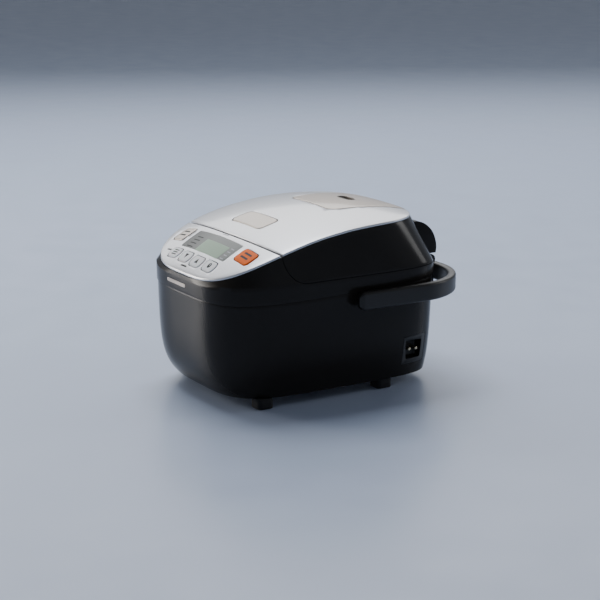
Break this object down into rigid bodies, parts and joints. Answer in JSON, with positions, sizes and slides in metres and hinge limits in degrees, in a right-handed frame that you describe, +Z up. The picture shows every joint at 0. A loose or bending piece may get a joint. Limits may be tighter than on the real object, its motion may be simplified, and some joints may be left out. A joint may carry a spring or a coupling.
{
  "type": "rice cooker",
  "caption": "Electronic rice cooker: hinged lid with steam vent, sloping key panel with display, lift-out pan and fold-back carrying handle.",
  "frame": {"origin": "centre of the whole part's box, on the surface it stands on, with the lid shut and the handle folded back", "axes": "+Z up; -Y is the side with the keys, +Y the side with the lid's hinge; +X is the right-hand side for a person at the keys"},
  "size_m": [0.2322, 0.2977, 0.19],
  "materials": {
    "black_gloss_plastic": "glossy black moulded plastic, fingerprint-smooth",
    "black_satin_plastic": "fine-textured black plastic",
    "silver_plastic": "silver lacquer on plastic, soft sheen",
    "beige_silver_plastic": "warm beige-silver lacquer on plastic",
    "white_key": "off-white moulded keys",
    "orange_key": "orange moulded key",
    "display_window": "clear window over a grey-green display",
    "display_module": "display module",
    "circuit_board": "green circuit board with parts",
    "aluminium": "satin aluminium",
    "zinc_steel": "zinc-plated steel",
    "pan_coating": "dark non-stick coating on aluminium",
    "black_rubber": "black rubber",
    "grey_silicone": "grey silicone",
    "brass": "turned brass"
  },
  "bodies": {
    "housing": {"body_shell": "black_gloss_plastic", "top_frame": "black_gloss_plastic", "base_plate": "black_satin_plastic", "base_screw_front_left": "zinc_steel", "base_screw_front_right": "zinc_steel", "base_screw_rear_left": "zinc_steel", "base_screw_rear_right": "zinc_steel", "foot_front_left": "black_rubber", "foot_front_right": "black_rubber", "foot_rear_left": "black_rubber", "foot_rear_right": "black_rubber", "control_panel": "silver_plastic", "lcd_window": "display_window", "lcd_module": "display_module", "control_board": "circuit_board", "power_board": "circuit_board", "inlet_housing": "black_gloss_plastic", "inlet_pin_front": "brass", "inlet_pin_rear": "brass", "heater_liner": "aluminium", "heating_plate": "aluminium", "side_heater_band": "grey_silicone", "sensor_spring": "zinc_steel", "inner_pan": "pan_coating", "hinge_bracket": "black_gloss_plastic", "hinge_pin": "zinc_steel", "hinge_spring": "zinc_steel", "handle_pivot_left": "zinc_steel", "handle_pivot_right": "zinc_steel"},
    "lid": {"lid_shell": "black_gloss_plastic", "lid_top_panel": "silver_plastic", "lid_hinge_hood": "black_gloss_plastic", "lid_base": "black_satin_plastic", "lid_heating_plate": "aluminium", "inner_lid": "aluminium", "inner_lid_gasket": "grey_silicone", "steam_duct": "black_satin_plastic", "button_spring": "zinc_steel"},
    "vent_cap": {"steam_vent_cap": "beige_silver_plastic", "steam_vent_valve": "black_satin_plastic"},
    "opener": {"open_button": "beige_silver_plastic"},
    "latch": {"latch_hook": "zinc_steel"},
    "carrying_handle": {"handle": "black_satin_plastic"},
    "sensor": {"centre_sensor": "aluminium"},
    "start": {"start_key": "orange_key"},
    "cancel": {"cancel_key": "beige_silver_plastic"},
    "menu": {"menu_key": "white_key"},
    "down": {"down_key": "white_key"},
    "up": {"up_key": "white_key"},
    "timer": {"timer_key": "white_key"}
  },
  "joints": [
    {"name": "lid_hinge", "type": "hinge", "parent": "housing", "child": "lid", "pos_m": [0, 0.124, 0.124], "axis": [-1, 0, 0], "range_deg": [0, 85]},
    {"name": "handle_swing", "type": "hinge", "parent": "housing", "child": "carrying_handle", "pos_m": [0, 0.007, 0.104], "axis": [1, 0, 0], "range_deg": [0, 90]},
    {"name": "open_button_press", "type": "slide", "parent": "lid", "child": "opener", "axis": [0, 0, -1], "range_m": [0, 0.002], "stiffness_N_per_m": 600, "springref_m": -0.003, "deforming": ["button_spring"]},
    {"name": "latch_hook_turn", "type": "hinge", "parent": "lid", "child": "latch", "pos_m": [0, -0.0686, 0.14], "axis": [-1, 0, 0], "range_deg": [0, 7]},
    {"name": "vent_cap_lift", "type": "slide", "parent": "lid", "child": "vent_cap", "axis": [0, 0, 1], "range_m": [0, 0.03]},
    {"name": "sensor_press", "type": "slide", "parent": "housing", "child": "sensor", "axis": [0, 0, -1], "range_m": [0, 0.002], "stiffness_N_per_m": 500, "springref_m": -0.004, "deforming": ["sensor_spring"]},
    {"name": "start_press", "type": "slide", "parent": "housing", "child": "start", "axis": [-0.1023, 0.4585, -0.8828], "range_m": [0, 0.0006], "stiffness_N_per_m": 1000, "springref_m": -0.0005},
    {"name": "cancel_press", "type": "slide", "parent": "housing", "child": "cancel", "axis": [0.1023, 0.4585, -0.8828], "range_m": [0, 0.0006], "stiffness_N_per_m": 1000, "springref_m": -0.0005},
    {"name": "menu_press", "type": "slide", "parent": "housing", "child": "menu", "axis": [0.0469, 0.5863, -0.8088], "range_m": [0, 0.0006], "stiffness_N_per_m": 1000, "springref_m": -0.0005},
    {"name": "down_press", "type": "slide", "parent": "housing", "child": "down", "axis": [0.0182, 0.6007, -0.7993], "range_m": [0, 0.0006], "stiffness_N_per_m": 1000, "springref_m": -0.0005},
    {"name": "up_press", "type": "slide", "parent": "housing", "child": "up", "axis": [-0.0098, 0.6047, -0.7964], "range_m": [0, 0.0006], "stiffness_N_per_m": 1000, "springref_m": -0.0005},
    {"name": "timer_press", "type": "slide", "parent": "housing", "child": "timer", "axis": [-0.0379, 0.5929, -0.8044], "range_m": [0, 0.0006], "stiffness_N_per_m": 1000, "springref_m": -0.0005}
  ],
  "couplings": [
    {"joint": "latch_hook_turn", "follows": "open_button_press", "rad_per_m": 60}
  ]
}
